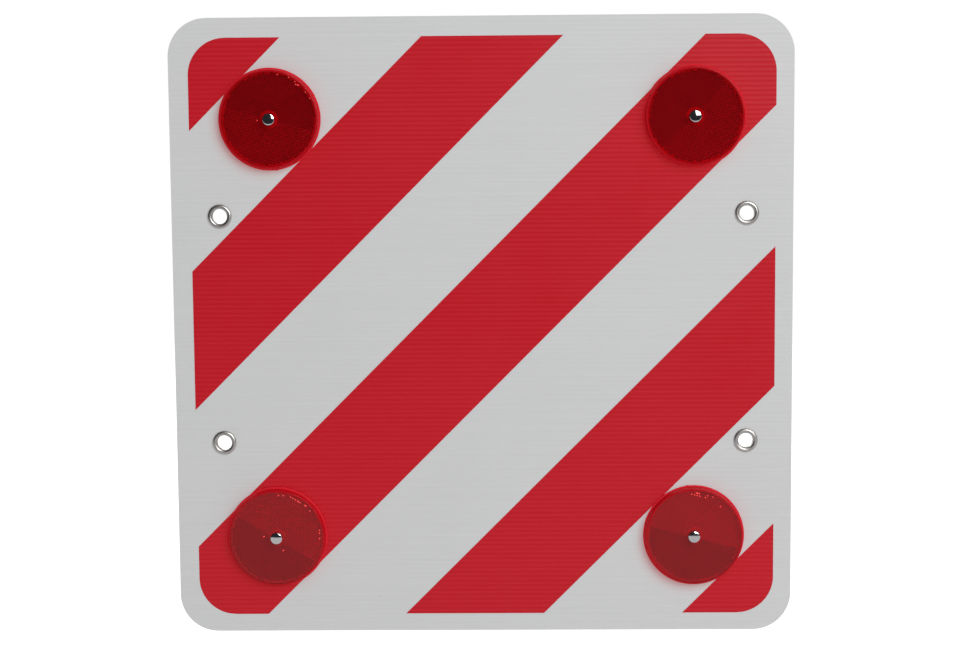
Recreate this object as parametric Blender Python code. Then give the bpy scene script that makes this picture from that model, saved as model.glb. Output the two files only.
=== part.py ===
# Overhanging load sign: a square of fluted plastic sheet with printed diagonal stripes,
# four round reflectors held by cap rivets, and four eyelets for the cords that tie it on.
# Metres. X is to the right of someone facing the front, Z is up, and the front faces -Y.
# The origin is the middle of the eyelets, on the back of the sheet.

import math

import bmesh
import bpy
from mathutils import Vector

# Sheet
sheet_width = 0.500
sheet_height = 0.500
sheet_thickness = 0.0035
sheet_corner_radius = 0.031
sheet_corner_steps = 8
trim_shift_x = -0.0008
trim_shift_z = 0.0008
skin_thickness = 0.0004
rib_thickness = 0.0003
flute_spacing = 0.00375

# Print
print_margin = 0.015
print_corner_radius = 0.030
print_film = 0.00012
stripe_width = 0.080
stripe_tilt = math.radians(45)
corner_field_depth = 0.05234

# Reflectors
reflector_inset = 0.080
lens_face_radius = 0.0395
lens_height = 0.0085
lens_edge_round = 0.0008
lens_draft = 0.0004
lens_side_wall = 0.0016
lens_front_wall = 0.0030
lens_skirt_wall = 0.0016
lens_flange_height = 0.0018
lens_flange_slope = 0.0004
boss_radius = 0.0046
back_plate_thickness = 0.0015
back_plate_seat = 0.0012
reflector_segments = 32

# Cap rivets
rivet_post_radius = 0.0024
rivet_head_radius = 0.00485
rivet_head_height = 0.0019
rivet_edge_round = 0.0008
rivet_crown_tilt = 14
rivet_post_reach = 0.0006
rivet_cap_roof = 0.0010
rivet_segments = 16
rivet_edge_steps = 2
rivet_crown_steps = 2

# Eyelets
eyelet_inset = 0.038
eyelet_pair_spacing = 0.1846
eyelet_bore_radius = 0.0060
eyelet_wall = 0.00035
eyelet_flange_radius = 0.00975
eyelet_flange_height = 0.0014
eyelet_curl_reach = 0.0019
eyelet_curl_height = 0.0005
eyelet_segments = 20
eyelet_arc_steps = 6
washer_seat = 0.00035
washer_land_height = 0.0009
washer_radius = 0.0097
washer_edge_round = 0.0002
washer_recess_slope = 0.00015

# Room between pieces that fit into each other, and how far a cutter runs past what it cuts
fit_gap = 0.0003
cut_margin = 0.002

# Places worked out from the sizes above
front_y = -sheet_thickness
print_y = front_y - print_film
lens_face_y = print_y - lens_height
reflector_x = sheet_width / 2 - reflector_inset
reflector_z = sheet_height / 2 - reflector_inset
eyelet_x = sheet_width / 2 - eyelet_inset
eyelet_z = eyelet_pair_spacing / 2
post_hole_radius = rivet_post_radius + fit_gap
barrel_radius = eyelet_bore_radius + eyelet_wall
eyelet_hole_radius = barrel_radius + fit_gap
corners = {"top_left": (-1, 1), "top_right": (1, 1), "bottom_left": (-1, -1), "bottom_right": (1, -1)}
sides = {"upper_left": (-1, 1), "upper_right": (1, 1), "lower_left": (-1, -1), "lower_right": (1, -1)}


def clear_scene():
    for old in list(bpy.data.objects):
        bpy.data.objects.remove(old, do_unlink=True)


def make_material(name, color, roughness, metallic=0.0, transmission=0.0):
    material = bpy.data.materials.new(name)
    material.use_nodes = True
    shader = material.node_tree.nodes["Principled BSDF"]
    shader.inputs["Base Color"].default_value = (*color, 1.0)
    shader.inputs["Roughness"].default_value = roughness
    shader.inputs["Metallic"].default_value = metallic
    shader.inputs["Transmission Weight"].default_value = transmission
    return material


def add_object(name, mesh, material=None, place=(0, 0, 0)):
    body = bpy.data.objects.new(name, mesh)
    bpy.context.collection.objects.link(body)
    body.location = place
    if material and not mesh.materials:
        mesh.materials.append(material)
    return body


def as_cutter(body):
    body.hide_render = True
    body.display_type = "WIRE"
    return body


def add_boolean(body, cutter, operation):
    step = body.modifiers.new(cutter.name, "BOOLEAN")
    step.object = cutter
    step.operation = operation
    step.solver = "EXACT"


def finish_mesh(bm, name, smooth_angle=None):
    bmesh.ops.recalc_face_normals(bm, faces=bm.faces)
    mesh = bpy.data.meshes.new(name)
    bm.to_mesh(mesh)
    bm.free()
    if smooth_angle:
        mesh.shade_smooth()
        mesh.set_sharp_from_angle(angle=math.radians(smooth_angle))
    return mesh


# A turned shape about Y. The profile holds (radius, distance in front of the seat) pairs,
# and a profile that starts and ends on the axis is left open there.
def turned_mesh(name, profile, segments):
    bm = bmesh.new()
    points = [bm.verts.new((radius, -ahead, 0)) for radius, ahead in profile]
    edges = [bm.edges.new(pair) for pair in zip(points, points[1:])]
    if profile[0][0] > 0:
        edges.append(bm.edges.new((points[-1], points[0])))
    bmesh.ops.spin(bm, geom=points + edges, cent=(0, 0, 0), axis=(0, 1, 0),
                   angle=math.tau, steps=segments, use_merge=True)
    bmesh.ops.remove_doubles(bm, verts=bm.verts, dist=1e-7)
    return finish_mesh(bm, name, 35)


def arc(center, radii, start, end, steps):
    turns = [math.radians(start + (end - start) * i / steps) for i in range(steps + 1)]
    return [(center[0] + radii[0] * math.cos(t), center[1] + radii[1] * math.sin(t)) for t in turns]


def rounded_outline(width, height, radius, steps):
    points = []
    for turn, (side_x, side_z) in enumerate([(1, 1), (-1, 1), (-1, -1), (1, -1)]):
        middle = (side_x * (width / 2 - radius), side_z * (height / 2 - radius))
        points += arc(middle, (radius, radius), 90 * turn, 90 * turn + 90, steps)
    return points


def prism_mesh(name, outline, near_y, far_y):
    bm = bmesh.new()
    face = bm.faces.new([bm.verts.new((x, near_y, z)) for x, z in outline])
    grown = bmesh.ops.extrude_face_region(bm, geom=[face])
    moved = [part for part in grown["geom"] if isinstance(part, bmesh.types.BMVert)]
    bmesh.ops.translate(bm, verts=moved, vec=(0, far_y - near_y, 0))
    return finish_mesh(bm, name)


def add_box(bm, low, high):
    size = Vector(high) - Vector(low)
    box = bmesh.ops.create_cube(bm, size=1)
    bmesh.ops.scale(bm, verts=box["verts"], vec=size)
    bmesh.ops.translate(bm, verts=box["verts"], vec=(Vector(high) + Vector(low)) / 2)


# The flutes run level through the sheet and stay open at its left and right sides. Their spacing is
# trimmed so that a whole number of them fits between the top and bottom edges.
def make_flute_cutter():
    count = round((sheet_height - rib_thickness) / flute_spacing)
    spacing = (sheet_height - rib_thickness) / count
    reach = sheet_width / 2 + cut_margin
    bm = bmesh.new()
    for i in range(count):
        bottom = trim_shift_z - sheet_height / 2 + rib_thickness + i * spacing
        low = (trim_shift_x - reach, front_y + skin_thickness, bottom)
        high = (trim_shift_x + reach, -skin_thickness, bottom + spacing - rib_thickness)
        add_box(bm, low, high)
    return as_cutter(add_object("flute_cutter", finish_mesh(bm, "flute_cutter")))


def make_hole_cutter(name, radius, segments, x, z, places):
    bm = bmesh.new()
    depth = sheet_thickness + print_film + 2 * cut_margin
    for side_x, side_z in places.values():
        drill = bmesh.ops.create_cone(bm, cap_ends=True, segments=segments, radius1=radius,
                                      radius2=radius, depth=depth)
        bmesh.ops.rotate(bm, verts=drill["verts"], matrix=turn_to_y)
        bmesh.ops.translate(bm, verts=drill["verts"], vec=(side_x * x, print_y / 2, side_z * z))
    return as_cutter(add_object(name, finish_mesh(bm, name)))


def make_sheet(material, hole_cutters):
    outline = rounded_outline(sheet_width, sheet_height, sheet_corner_radius, sheet_corner_steps)
    outline = [(x + trim_shift_x, z + trim_shift_z) for x, z in outline]
    sheet = add_object("panel", prism_mesh("panel", outline, front_y, 0), material)
    add_boolean(sheet, make_flute_cutter(), "DIFFERENCE")
    for cutter in hole_cutters:
        add_boolean(sheet, cutter, "DIFFERENCE")


# Five red fields: straight bands, evenly spaced, each cut to the rounded frame of the print. The depth
# of the two corner fields runs along the diagonal, from where the frame's straight sides would meet.
def make_stripes(material, post_holes):
    frame_width = sheet_width - 2 * print_margin
    frame_height = sheet_height - 2 * print_margin
    outline = rounded_outline(frame_width, frame_height, print_corner_radius, sheet_corner_steps)
    frame_mesh = prism_mesh("print_frame", outline, print_y - cut_margin, front_y + cut_margin)
    frame = as_cutter(add_object("print_frame", frame_mesh))
    names = ["stripe_corner_top_left", "stripe_upper", "stripe_middle", "stripe_lower",
             "stripe_corner_bottom_right"]
    half_length = (frame_width + frame_height) / 2
    across = Vector((math.sin(stripe_tilt), 0, -math.cos(stripe_tilt)))
    corner_reach = (frame_width * across.x - frame_height * across.z) / 2
    spacing = (corner_reach - corner_field_depth + stripe_width / 2) / (len(names) // 2)
    for i, name in enumerate(names):
        bm = bmesh.new()
        add_box(bm, (-half_length, print_y, -stripe_width / 2), (half_length, front_y, stripe_width / 2))
        place = across * (i - len(names) // 2) * spacing
        stripe = add_object(name, finish_mesh(bm, name), material, place)
        stripe.rotation_euler = (0, -stripe_tilt, 0)
        add_boolean(stripe, frame, "INTERSECT")
        add_boolean(stripe, post_holes, "DIFFERENCE")


# A clear red cup, open behind. The post's boss runs down to the back plate, and a step inside the
# skirt takes the plate's rim.
def lens_profile():
    cavity = lens_face_radius - lens_side_wall
    rebate = cavity + back_plate_seat + fit_gap
    base = rebate + lens_skirt_wall
    shoulder = lens_height - lens_edge_round
    flange_top = lens_flange_height + lens_flange_slope
    edge = arc((lens_face_radius - lens_edge_round, shoulder), (lens_edge_round, lens_edge_round), 0, 90, 2)
    return [
        (base, 0),
        (base, lens_flange_height),
        (lens_face_radius + lens_draft, flange_top),
        *edge,
        (post_hole_radius, lens_height),
        (post_hole_radius, back_plate_thickness),
        (boss_radius, back_plate_thickness),
        (boss_radius, lens_height - lens_front_wall),
        (cavity, lens_height - lens_front_wall),
        (cavity, back_plate_thickness),
        (rebate, back_plate_thickness),
        (rebate, 0),
    ]


def back_plate_profile():
    rim = lens_face_radius - lens_side_wall + back_plate_seat
    return [(post_hole_radius, 0), (rim, 0), (rim, back_plate_thickness),
            (post_hole_radius, back_plate_thickness)]


# A rivet head's outline from its rim to its middle: a round edge that runs into a low crown. The crown
# is a parabola, which leaves the edge at the crown's tilt.
def head_outline():
    steep = math.radians(rivet_crown_tilt)
    reach = rivet_head_radius - rivet_edge_round * (1 - math.sin(steep))
    rise = reach * math.tan(steep) / 2
    rim = rivet_head_height - rise - rivet_edge_round * math.cos(steep)
    middle = (rivet_head_radius - rivet_edge_round, rim)
    edge = arc(middle, (rivet_edge_round, rivet_edge_round), 0, 90 - rivet_crown_tilt, rivet_edge_steps)
    shares = [1 - i / rivet_crown_steps for i in range(1, rivet_crown_steps + 1)]
    return edge + [(reach * share, rivet_head_height - rise * share ** 2) for share in shares]


# The front half of a cap rivet: a domed head on a post that reaches through to the rear cap.
def rivet_profile():
    depth = lens_height + print_film + sheet_thickness + rivet_post_reach
    return [(0, -depth), (rivet_post_radius, -depth), (rivet_post_radius, 0), (rivet_head_radius, 0),
            *head_outline()]


def rivet_cap_profile():
    return [(0, rivet_head_height - rivet_cap_roof), (post_hole_radius, rivet_head_height - rivet_cap_roof),
            (post_hole_radius, 0), (rivet_head_radius, 0), *head_outline()]


# A drawn eyelet: a rolled flange in front, a barrel through the sheet, and a curl over the washer.
def eyelet_profile():
    wall = eyelet_wall
    bore = eyelet_bore_radius
    middle = (eyelet_flange_radius + bore) / 2
    half = (eyelet_flange_radius - bore) / 2
    seat = -sheet_thickness - washer_seat
    curl_middle = bore + eyelet_curl_reach / 2
    crown = arc((middle, 0), (half, eyelet_flange_height), 0, 180, eyelet_arc_steps)
    curl = arc((curl_middle, seat), (eyelet_curl_reach / 2, eyelet_curl_height), -180, 0, eyelet_arc_steps // 2)
    hollow = arc((middle, 0), (half - wall, eyelet_flange_height - wall), 180, 0, eyelet_arc_steps // 2)
    return [*crown, *curl, (barrel_radius, seat), *hollow]


def washer_profile():
    inner = barrel_radius + fit_gap
    recess = eyelet_bore_radius + eyelet_curl_reach + fit_gap
    return [
        (inner, 0),
        (inner, washer_seat),
        (recess, washer_seat),
        (recess + washer_recess_slope, washer_land_height),
        (washer_radius - washer_edge_round, washer_land_height),
        (washer_radius, washer_land_height - washer_edge_round),
        (washer_radius, 0),
    ]


# One copy of a turned piece at each place. Pieces behind the sheet are turned to face backwards.
def place_turned(name, profile, segments, material, places, x, y, z, faces_back=False):
    mesh = turned_mesh(name, profile, segments)
    for place, (side_x, side_z) in places.items():
        piece = add_object(f"{name}_{place}", mesh, material, (side_x * x, y, side_z * z))
        if faces_back:
            piece.rotation_euler = (0, 0, math.pi)


clear_scene()
turn_to_y = Vector((0, 0, 1)).rotation_difference(Vector((0, 1, 0))).to_matrix()
white_sheet = make_material("white_sheet", (0.60, 0.60, 0.61), 0.45)
red_print = make_material("red_print", (0.47, 0.015, 0.024), 0.40)
red_lens = make_material("red_lens", (0.55, 0.004, 0.008), 0.05, transmission=0.7)
red_plate = make_material("red_plate", (0.20, 0.003, 0.006), 0.45)
nickel = make_material("nickel", (0.78, 0.76, 0.73), 0.18, metallic=1.0)

post_holes = make_hole_cutter("post_hole_cutter", post_hole_radius, rivet_segments,
                              reflector_x, reflector_z, corners)
eyelet_holes = make_hole_cutter("eyelet_hole_cutter", eyelet_hole_radius, eyelet_segments,
                                eyelet_x, eyelet_z, sides)
make_sheet(white_sheet, [post_holes, eyelet_holes])
make_stripes(red_print, post_holes)

place_turned("reflector_lens", lens_profile(), reflector_segments, red_lens, corners,
             reflector_x, print_y, reflector_z)
place_turned("reflector_back", back_plate_profile(), reflector_segments, red_plate, corners,
             reflector_x, print_y, reflector_z)
place_turned("rivet", rivet_profile(), rivet_segments, nickel, corners,
             reflector_x, lens_face_y, reflector_z)
place_turned("rivet_cap", rivet_cap_profile(), rivet_segments, nickel, corners,
             reflector_x, 0, reflector_z, faces_back=True)
place_turned("eyelet", eyelet_profile(), eyelet_segments, nickel, sides, eyelet_x, front_y, eyelet_z)
place_turned("eyelet_washer", washer_profile(), eyelet_segments, nickel, sides,
             eyelet_x, 0, eyelet_z, faces_back=True)
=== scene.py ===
import math

import bmesh
import bpy
import numpy as np
from mathutils import Matrix, Vector


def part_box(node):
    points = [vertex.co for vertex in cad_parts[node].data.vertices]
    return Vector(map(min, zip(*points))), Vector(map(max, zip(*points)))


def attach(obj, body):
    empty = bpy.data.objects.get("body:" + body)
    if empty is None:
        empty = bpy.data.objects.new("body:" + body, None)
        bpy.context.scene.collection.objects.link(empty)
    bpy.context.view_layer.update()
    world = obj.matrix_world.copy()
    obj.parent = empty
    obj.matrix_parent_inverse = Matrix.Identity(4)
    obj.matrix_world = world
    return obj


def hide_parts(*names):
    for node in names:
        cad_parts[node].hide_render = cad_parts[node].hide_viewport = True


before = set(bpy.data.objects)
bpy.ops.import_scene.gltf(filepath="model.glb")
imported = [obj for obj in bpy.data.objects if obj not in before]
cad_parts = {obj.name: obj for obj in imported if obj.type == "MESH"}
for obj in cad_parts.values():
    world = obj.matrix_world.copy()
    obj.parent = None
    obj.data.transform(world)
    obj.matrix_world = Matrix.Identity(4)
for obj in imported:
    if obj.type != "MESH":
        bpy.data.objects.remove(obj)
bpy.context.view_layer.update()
print("Frame loaded:", len(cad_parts), "nodes")

corners = ["top_left", "top_right", "bottom_left", "bottom_right"]
sides = ["upper_left", "upper_right", "lower_left", "lower_right"]
weldDistance = 1e-7


def middleOf(node):
    low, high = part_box(node)
    return (low + high) / 2


def tidyMesh(bm, name, smoothAngle=35):
    bmesh.ops.recalc_face_normals(bm, faces=bm.faces)
    mesh = bpy.data.meshes.new(name)
    bm.to_mesh(mesh)
    bm.free()
    mesh.shade_smooth()
    mesh.set_sharp_from_angle(angle=math.radians(smoothAngle))
    return mesh


# Shading stops where one material meets another, so that a flat face stays flat.
def sharpenSeams(mesh):
    bm = bmesh.new()
    bm.from_mesh(mesh)
    for edge in bm.edges:
        if len({face.material_index for face in edge.link_faces}) > 1:
            edge.smooth = False
    bm.to_mesh(mesh)
    bm.free()


def addObject(name, data):
    item = bpy.data.objects.new(name, data)
    bpy.context.scene.collection.objects.link(item)
    return item


# A piece stands for one node of the frame, hides that node, takes its material, and rides on the one body.
def addPiece(mesh, node, materials):
    piece = addObject(node + "_fine", mesh)
    for material in materials:
        mesh.materials.append(material)
    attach(piece, "root")
    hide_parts(node)


# Half the width of a rectangle with round corners, at a height above its middle.
def roundedHalf(height, halfWidth, halfHeight, radius):
    beyond = max(abs(height) - halfHeight + radius, 0)
    inset = radius - math.sqrt(max(radius ** 2 - beyond ** 2, 0))
    return halfWidth - inset


def arcPoints(center, radii, start, end, steps):
    turns = np.radians(np.linspace(start, end, steps + 1))
    return list(zip(center[0] + radii[0] * np.cos(turns), center[1] + radii[1] * np.sin(turns)))


# Spins (radius, distance in front of the seat) pairs about Y. A closed profile makes a ring.
def spinProfile(bm, profile, segments, closed=True):
    points = [bm.verts.new((radius, -ahead, 0)) for radius, ahead in profile]
    edges = [bm.edges.new(pair) for pair in zip(points, points[1:])]
    if closed and profile[0][0] > 0:
        edges.append(bm.edges.new((points[-1], points[0])))
    bmesh.ops.spin(bm, geom=points + edges, cent=(0, 0, 0), axis=(0, 1, 0),
                   angle=math.tau, steps=segments, use_merge=True)
    bmesh.ops.remove_doubles(bm, verts=bm.verts, dist=weldDistance)


# A metal piece, turned about Y, that faces ahead or backward.
def addTurnedPiece(node, profile, segments, place, material, facesBack=False):
    bm = bmesh.new()
    spinProfile(bm, profile, segments)
    mesh = tidyMesh(bm, node)
    turn = Matrix.Rotation(math.pi if facesBack else 0, 4, "Z")
    mesh.transform(Matrix.Translation(place) @ turn)
    addPiece(mesh, node, [material])


# Node helpers. A socket given as the value is linked, anything else is set on the socket itself. Colours
# are given as red, green and blue.
def addNode(tree, kind, sockets=None, **settings):
    node = tree.nodes.new(kind)
    for name, value in settings.items():
        setattr(node, name, value)
    for name, value in (sockets or {}).items():
        socket = node.inputs[name]
        if isinstance(value, bpy.types.NodeSocket):
            tree.links.new(value, socket)
        else:
            socket.default_value = (*value, 1) if socket.type == "RGBA" else value
    return node


def mathNode(tree, operation, first, second=0.0, third=0.0, clamp=False):
    sockets = {0: first, 1: second, 2: third}
    return addNode(tree, "ShaderNodeMath", sockets, operation=operation, use_clamp=clamp).outputs[0]


# Two values added up, each times its share.
def weighSum(tree, first, firstShare, second, secondShare):
    part = mathNode(tree, "MULTIPLY", second, secondShare)
    return mathNode(tree, "MULTIPLY_ADD", first, firstShare, part)


def rangeNode(tree, value, fromLow, fromHigh, toLow=0.0, toHigh=1.0):
    sockets = {"Value": value, "From Min": fromLow, "From Max": fromHigh, "To Min": toLow, "To Max": toHigh}
    return addNode(tree, "ShaderNodeMapRange", sockets).outputs[0]


def mixColors(tree, mask, first, second):
    sockets = {0: mask, 6: first, 7: second}      # the colours' sockets follow those of numbers and vectors
    return addNode(tree, "ShaderNodeMix", sockets, data_type="RGBA").outputs[2]


# Inputs are given as numbers or as colours, and outputs by name with what they carry.
def startGroup(name, inputs, outputs):
    group = bpy.data.node_groups.new(name, "ShaderNodeTree")
    for label, value in inputs.items():
        isColor = isinstance(value, tuple)
        kind = "NodeSocketColor" if isColor else "NodeSocketFloat"
        socket = group.interface.new_socket(name=label, in_out="INPUT", socket_type=kind)
        socket.default_value = (*value, 1) if isColor else value
    for label, carries in outputs.items():
        group.interface.new_socket(name=label, in_out="OUTPUT", socket_type="NodeSocket" + carries)
    given = group.nodes.new("NodeGroupInput").outputs
    result = group.nodes.new("NodeGroupOutput").inputs
    spot = group.nodes.new("ShaderNodeTexCoord").outputs["Object"]     # where on the object, in metres
    return group, given, result, spot


# Fine lines that run level, as an extruder's die leaves them in a sheet.
def makeStreakGroup():
    inputs = {"Lines": 900, "Run": 0.02}
    group, given, result, spot = startGroup("extrusion streaks", inputs, {"Value": "Float"})
    along = addNode(group, "ShaderNodeCombineXYZ", {"X": given["Run"], "Y": 1, "Z": 1}).outputs[0]
    stretched = addNode(group, "ShaderNodeVectorMath", {0: spot, 1: along}, operation="MULTIPLY").outputs[0]
    sockets = {"Vector": stretched, "Scale": given["Lines"], "Detail": 3, "Roughness": 0.6}
    lines = addNode(group, "ShaderNodeTexNoise", sockets).outputs[0]
    group.links.new(rangeNode(group, lines, 0.3, 0.7), result["Value"])
    return group


# Broad, faint patches where hands and cloths have been.
def makeSmudgeGroup():
    inputs = {"Size": 9, "Sharpness": 0.12}
    group, given, result, spot = startGroup("handling smudges", inputs, {"Value": "Float"})
    sockets = {"Vector": spot, "Scale": given["Size"], "Detail": 6, "Roughness": 0.62, "Distortion": 0.6}
    cloud = addNode(group, "ShaderNodeTexNoise", sockets).outputs[0]
    low = mathNode(group, "SUBTRACT", 0.5, given["Sharpness"])
    high = mathNode(group, "ADD", 0.5, given["Sharpness"])
    group.links.new(rangeNode(group, cloud, low, high), result["Value"])
    return group


# Small grains far apart: dust, and specks in the ink or the plastic.
def makeSpeckGroup():
    inputs = {"Scale": 120, "Size": 0.1, "Share": 0.1}
    group, given, result, spot = startGroup("specks", inputs, {"Mask": "Float"})
    cells = addNode(group, "ShaderNodeTexVoronoi", {"Vector": spot, "Scale": given["Scale"]}).outputs
    chance = addNode(group, "ShaderNodeSeparateColor", {"Color": cells["Color"]}).outputs[0]
    chosen = mathNode(group, "LESS_THAN", chance, given["Share"])
    inner = mathNode(group, "MULTIPLY", given["Size"], 0.5)
    grain = rangeNode(group, cells["Distance"], given["Size"], inner)
    group.links.new(mathNode(group, "MULTIPLY", grain, chosen), result["Mask"])
    return group


# Hairline scratches in two crossing directions.
def makeScratchGroup():
    inputs = {"Scale": 60, "Width": 0.02, "Turn": 0.5}
    group, given, result, spot = startGroup("hairlines", inputs, {"Mask": "Float"})
    marks = []
    for turn, offset in ((1, 0), (-1, 7)):
        angle = mathNode(group, "MULTIPLY_ADD", given["Turn"], turn, offset)
        rotation = {"Vector": spot, "Axis": (0, 1, 0), "Angle": angle}
        turned = addNode(group, "ShaderNodeVectorRotate", rotation).outputs[0]
        stretched = addNode(group, "ShaderNodeMapping", {"Vector": turned, "Scale": (0.03, 1, 1)}).outputs[0]
        sockets = {"Vector": stretched, "Scale": given["Scale"], "Detail": 2}
        field = addNode(group, "ShaderNodeTexNoise", sockets).outputs[0]
        away = mathNode(group, "ABSOLUTE", mathNode(group, "SUBTRACT", field, 0.5))
        line = rangeNode(group, away, given["Width"], 0.0)
        patch = addNode(group, "ShaderNodeTexNoise", {"Vector": turned, "Scale": 35}).outputs[0]
        marks.append(mathNode(group, "MULTIPLY", line, rangeNode(group, patch, 0.52, 0.6)))
    group.links.new(mathNode(group, "MAXIMUM", *marks), result["Mask"])
    return group


# Even bands that run level: lightest over each flute, darkest over each rib. They are partly ink tone and
# partly painted sheen.
def makeBandGroup():
    group, given, result, spot = startGroup("flute bands", {"Spacing": 0.004, "Start": 0}, {"Value": "Float"})
    height = addNode(group, "ShaderNodeSeparateXYZ", {"Vector": spot}).outputs["Z"]
    flutes = mathNode(group, "DIVIDE", mathNode(group, "SUBTRACT", height, given["Start"]), given["Spacing"])
    wave = mathNode(group, "COSINE", mathNode(group, "MULTIPLY", flutes, math.tau))
    group.links.new(rangeNode(group, wave, 1.0, -1.0), result["Value"])
    return group


# Moulded cubes: painted shade in their pits and brighter facets, with painted light that makes them lighter
# the lower they sit, because they are seen more steeply there. How dark the pits are changes with height too.
# Flatness is how much of the facets' slope the shading leaves out.
def makePrismGroup():
    inputs = {"Facet": (0.4, 0.03, 0.05), "Pit": (0.1, 0.01, 0.02), "Wear": 0.0, "Front": 0.0,
              "Reach": 0.001, "Low": -0.25, "High": 0.25, "Low gain": 1.0, "High gain": 1.0,
              "Low pits": 0.2, "High pits": 0.5, "Flatness": 0.98}
    group, given, result, spot = startGroup("moulded cubes", inputs, {"Color": "Color", "Normal": "Vector"})
    place = addNode(group, "ShaderNodeSeparateXYZ", {"Vector": spot}).outputs
    depth = mathNode(group, "DIVIDE", mathNode(group, "SUBTRACT", place["Y"], given["Front"]), given["Reach"])
    # Painted shade in the pits, by height
    share = rangeNode(group, place["Z"], given["Low"], given["High"], given["Low pits"], given["High pits"])
    pits = mathNode(group, "MULTIPLY", rangeNode(group, depth, 0.35, 0.95), share)
    tone = mathNode(group, "ADD", pits, given["Wear"], clamp=True)
    color = mixColors(group, tone, given["Facet"], given["Pit"])
    # Painted light, by height
    gain = rangeNode(group, place["Z"], given["Low"], given["High"], given["Low gain"], given["High gain"])
    scaled = addNode(group, "ShaderNodeVectorMath", {0: color, "Scale": gain}, operation="SCALE")
    group.links.new(scaled.outputs[0], result["Color"])
    slope = group.nodes.new("ShaderNodeNewGeometry").outputs["Normal"]
    rest = mathNode(group, "SUBTRACT", 1.0, given["Flatness"])
    kept = addNode(group, "ShaderNodeVectorMath", {0: slope, "Scale": rest}, operation="SCALE")
    straight = {0: (0, -1, 0), "Scale": given["Flatness"]}
    ahead = addNode(group, "ShaderNodeVectorMath", straight, operation="SCALE")
    lifted = addNode(group, "ShaderNodeVectorMath", {0: kept.outputs[0], 1: ahead.outputs[0]})
    shaped = addNode(group, "ShaderNodeVectorMath", {0: lifted.outputs[0]}, operation="NORMALIZE")
    group.links.new(shaped.outputs[0], result["Normal"])
    return group


# Painted shade close to the sheet: full where metal meets it, none beyond the reach.
def makeCreviceShadeGroup():
    inputs = {"Middle": 0.0, "Half": 0.002, "Reach": 0.0005}
    group, given, result, spot = startGroup("creviceShade", inputs, {"Mask": "Float"})
    depth = addNode(group, "ShaderNodeSeparateXYZ", {"Vector": spot}).outputs["Y"]
    away = mathNode(group, "ABSOLUTE", mathNode(group, "SUBTRACT", depth, given["Middle"]))
    end = mathNode(group, "ADD", given["Half"], given["Reach"])
    group.links.new(rangeNode(group, away, given["Half"], end, 1.0, 0.0), result["Mask"])
    return group


streakGroup = makeStreakGroup()
creviceShadeGroup = makeCreviceShadeGroup()
bandGroup = makeBandGroup()
smudgeGroup = makeSmudgeGroup()
speckGroup = makeSpeckGroup()
scratchGroup = makeScratchGroup()
prismGroup = makePrismGroup()
print("Shared surface effects made")


# Spaces in sockets' names are given as underscores.
def startMaterial(name, **sockets):
    material = bpy.data.materials.new(name)
    material.use_nodes = True
    tree = material.node_tree
    shader = tree.nodes["Principled BSDF"]
    for label, value in sockets.items():
        shader.inputs[label.replace("_", " ")].default_value = value
    return material, tree, shader


def placeGroup(tree, group, **values):
    sockets = {label.replace("_", " "): value for label, value in values.items()}
    return addNode(tree, "ShaderNodeGroup", sockets, node_tree=group).outputs


def useGroup(tree, group, **values):
    return placeGroup(tree, group, **values)[0]


def addBump(tree, shader, layers):
    normal = None
    for height, depth in layers:
        sockets = {"Height": height, "Distance": depth, "Strength": 1.0}
        if normal:
            sockets["Normal"] = normal
        normal = addNode(tree, "ShaderNodeBump", sockets).outputs[0]
    tree.links.new(normal, shader.inputs["Normal"])


# Lamps reach what lies behind clear or thin plastic through the see-through shader.
def letLampsThrough(material, shader, tint):
    tree = material.node_tree
    rays = tree.nodes.new("ShaderNodeLightPath").outputs["Is Shadow Ray"]
    opening = addNode(tree, "ShaderNodeBsdfTransparent", {"Color": tint}).outputs[0]
    both = addNode(tree, "ShaderNodeMixShader", {0: rays, 1: shader.outputs[0], 2: opening}).outputs[0]
    tree.links.new(both, tree.nodes["Material Output"].inputs["Surface"])


sheetFinish = {
    "pale": (0.612, 0.616, 0.622),
    "shade": (0.578, 0.581, 0.586),
    "grain": (0.34, 0.33, 0.32),
    "shadowTint": (0.60, 0.60, 0.60),
    "roughness": (0.38, 0.46),
    "streakShare": 0.6,
    "smudgeShare": 0.4,
    "streakDepth": 0.000006,
    "speckDepth": 0.00005,
}


def makeSheetMaterial():
    material, tree, shader = startMaterial("white polypropylene", Specular_IOR_Level=0.3)
    streaks = useGroup(tree, streakGroup, Lines=700, Run=0.015)
    smudges = useGroup(tree, smudgeGroup, Size=7, Sharpness=0.15)
    specks = useGroup(tree, speckGroup, Scale=45, Size=0.018, Share=0.10)
    tone = weighSum(tree, streaks, sheetFinish["streakShare"], smudges, sheetFinish["smudgeShare"])
    color = mixColors(tree, tone, sheetFinish["pale"], sheetFinish["shade"])
    tree.links.new(mixColors(tree, specks, color, sheetFinish["grain"]), shader.inputs["Base Color"])
    tree.links.new(rangeNode(tree, smudges, 0, 1, *sheetFinish["roughness"]), shader.inputs["Roughness"])
    addBump(tree, shader, [(streaks, sheetFinish["streakDepth"]), (specks, sheetFinish["speckDepth"])])
    letLampsThrough(material, shader, sheetFinish["shadowTint"])
    return material


printFinish = {
    "ink": (0.493, 0.0008, 0.0080),
    "thinInkAndSheen": (0.547, 0.0100, 0.0240),
    "grain": (0.25, 0.03, 0.035),
    "roughness": (0.29, 0.35),
    "streakShare": 0.35,
    "bandShare": 0.6,
    "streakDepth": 0.000006,
    "speckDepth": 0.00004,
}


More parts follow.
